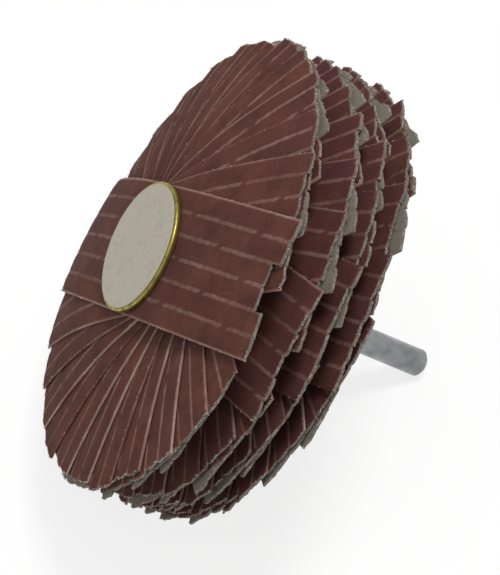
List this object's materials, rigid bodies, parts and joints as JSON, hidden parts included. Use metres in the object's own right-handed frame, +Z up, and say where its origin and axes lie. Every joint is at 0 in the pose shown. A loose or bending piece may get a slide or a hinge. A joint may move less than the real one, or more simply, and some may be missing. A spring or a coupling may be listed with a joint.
{
  "type": "sanding star",
  "caption": "Sanding star: packs of slashed abrasive cloth strips fanned out between two plates on a round steel shank, for sanding curved and carved surfaces.",
  "frame": {"origin": "centre of the bounding box at its lowest point, on the surface that the star lies on", "axes": "+Z up; +X towards the end of the shank, which slopes down to the surface; +Y across, so that the star's own axis lies in the XZ plane, with the label facing -X and up"},
  "size_m": [0.0944, 0.1038, 0.0844],
  "materials": {
    "abrasive_cloth": "matte grit on cotton cloth",
    "brass": "satin",
    "steel": "ground",
    "label_paper": "matte paper"
  },
  "bodies": {
    "root": {"strip_1_01": "abrasive_cloth", "strip_1_02": "abrasive_cloth", "strip_1_03": "abrasive_cloth", "strip_1_04": "abrasive_cloth", "strip_1_05": "abrasive_cloth", "strip_1_06": "abrasive_cloth", "strip_1_07": "abrasive_cloth", "strip_1_08": "abrasive_cloth", "strip_1_09": "abrasive_cloth", "strip_1_10": "abrasive_cloth", "strip_1_11": "abrasive_cloth", "strip_1_12": "abrasive_cloth", "strip_2_01": "abrasive_cloth", "strip_2_02": "abrasive_cloth", "strip_2_03": "abrasive_cloth", "strip_2_04": "abrasive_cloth", "strip_2_05": "abrasive_cloth", "strip_2_06": "abrasive_cloth", "strip_2_07": "abrasive_cloth", "strip_2_08": "abrasive_cloth", "strip_2_09": "abrasive_cloth", "strip_2_10": "abrasive_cloth", "strip_2_11": "abrasive_cloth", "strip_2_12": "abrasive_cloth", "strip_3_01": "abrasive_cloth", "strip_3_02": "abrasive_cloth", "strip_3_03": "abrasive_cloth", "strip_3_04": "abrasive_cloth", "strip_3_05": "abrasive_cloth", "strip_3_06": "abrasive_cloth", "strip_3_07": "abrasive_cloth", "strip_3_08": "abrasive_cloth", "strip_3_09": "abrasive_cloth", "strip_3_10": "abrasive_cloth", "strip_3_11": "abrasive_cloth", "strip_3_12": "abrasive_cloth", "strip_4_01": "abrasive_cloth", "strip_4_02": "abrasive_cloth", "strip_4_03": "abrasive_cloth", "strip_4_04": "abrasive_cloth", "strip_4_05": "abrasive_cloth", "strip_4_06": "abrasive_cloth", "strip_4_07": "abrasive_cloth", "strip_4_08": "abrasive_cloth", "strip_4_09": "abrasive_cloth", "strip_4_10": "abrasive_cloth", "strip_4_11": "abrasive_cloth", "strip_4_12": "abrasive_cloth", "front_plate": "brass", "rear_plate": "steel", "spindle": "steel", "label": "label_paper"}
  },
  "joints": []
}
